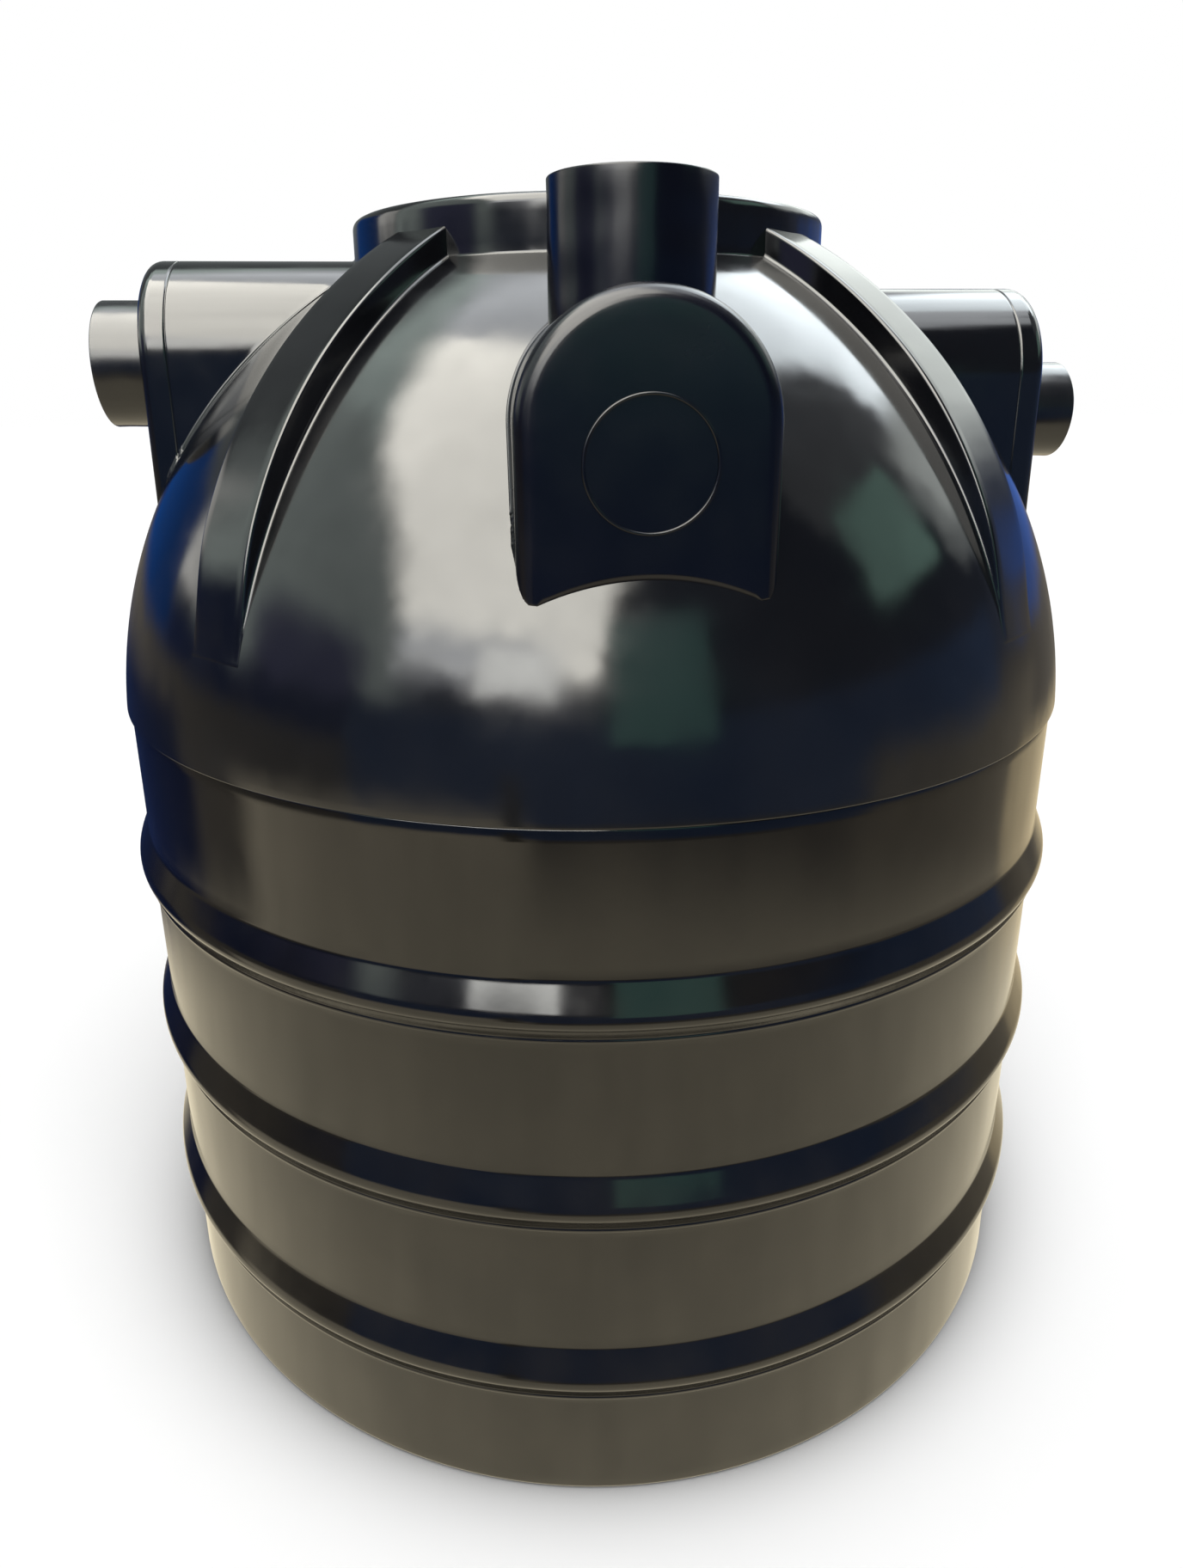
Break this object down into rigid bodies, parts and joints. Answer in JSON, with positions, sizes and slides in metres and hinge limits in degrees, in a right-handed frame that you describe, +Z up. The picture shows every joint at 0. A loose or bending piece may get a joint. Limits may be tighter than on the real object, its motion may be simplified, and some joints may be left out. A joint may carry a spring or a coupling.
{
  "type": "septic tank",
  "caption": "Domed black polyethylene septic tank with ribbed round wall, manhole neck, arched inlet, outlet and vent hoods and pipe stubs.",
  "frame": {"origin": "centre of the flat bottom, on the tank's upright axis", "axes": "+Z up, -X towards the inlet, +X towards the outlet, -Y towards the vent hood"},
  "size_m": [0.9054, 0.8862, 0.9677],
  "materials": {
    "shell": "glossy moulded black polyethylene",
    "hood": "satin moulded black polyethylene",
    "pipe": "satin black plastic pipe"
  },
  "bodies": {
    "root": {"base_plate": "shell", "skirt": "shell", "rib_lower": "shell", "band_lower": "shell", "rib_middle": "shell", "band_middle": "shell", "rib_upper": "shell", "band_upper": "shell", "shoulder": "shell", "dome": "shell", "neck": "shell", "manhole_lid": "shell", "inlet_hood": "shell", "inlet_cap": "shell", "inlet_pipe": "pipe", "outlet_hood": "shell", "outlet_cap": "shell", "outlet_pipe": "pipe", "vent_hood": "hood", "vent_cap": "hood", "vent_pipe": "pipe", "fin_front_left": "shell", "fin_front_right": "shell", "fin_back_left": "shell", "fin_back_right": "shell", "emblem_ring": "hood"}
  },
  "joints": []
}
